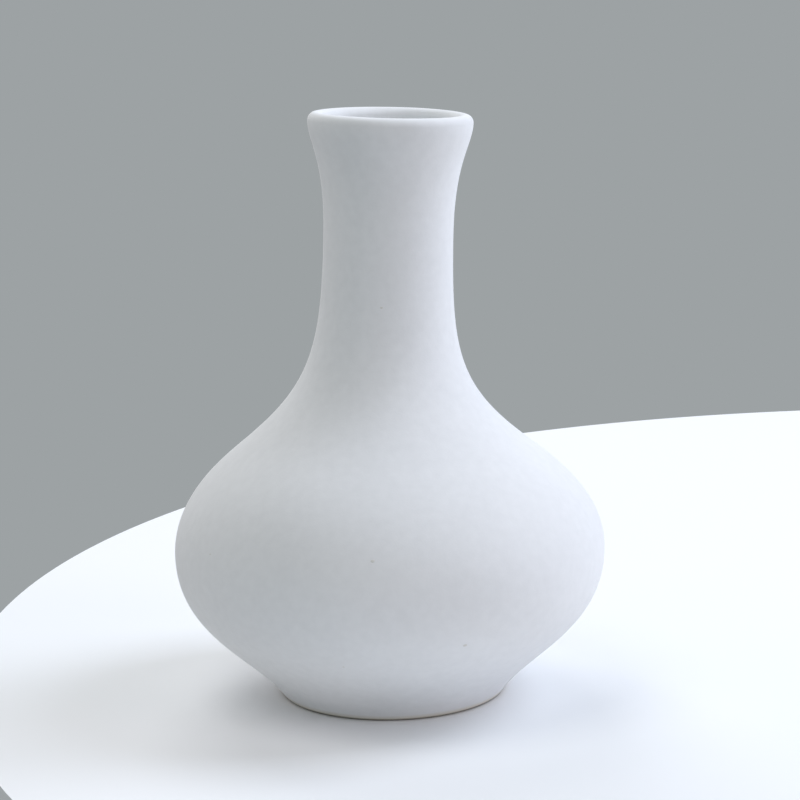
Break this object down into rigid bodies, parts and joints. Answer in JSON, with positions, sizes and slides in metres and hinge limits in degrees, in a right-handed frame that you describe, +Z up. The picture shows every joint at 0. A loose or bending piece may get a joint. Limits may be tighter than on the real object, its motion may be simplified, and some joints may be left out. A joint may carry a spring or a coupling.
{
  "type": "bud vase",
  "caption": "Small matt white ceramic vase with a low round belly, a slim leaning neck and a flared round lip, glazed inside to hold water.",
  "frame": {"origin": "centre of the foot, on the plane that it stands on, under the middle of the belly", "axes": "+Z up along the vase's axis; +X is the way that the neck leans; the XZ plane is the plane of symmetry"},
  "size_m": [0.1, 0.1, 0.1357],
  "materials": {
    "bisque": "matt, unglazed, fine sanded bisque",
    "clear_glaze": "gloss transparent glaze over white clay"
  },
  "bodies": {
    "root": {"bisque_body": "bisque", "glaze_lining": "clear_glaze"}
  },
  "joints": []
}
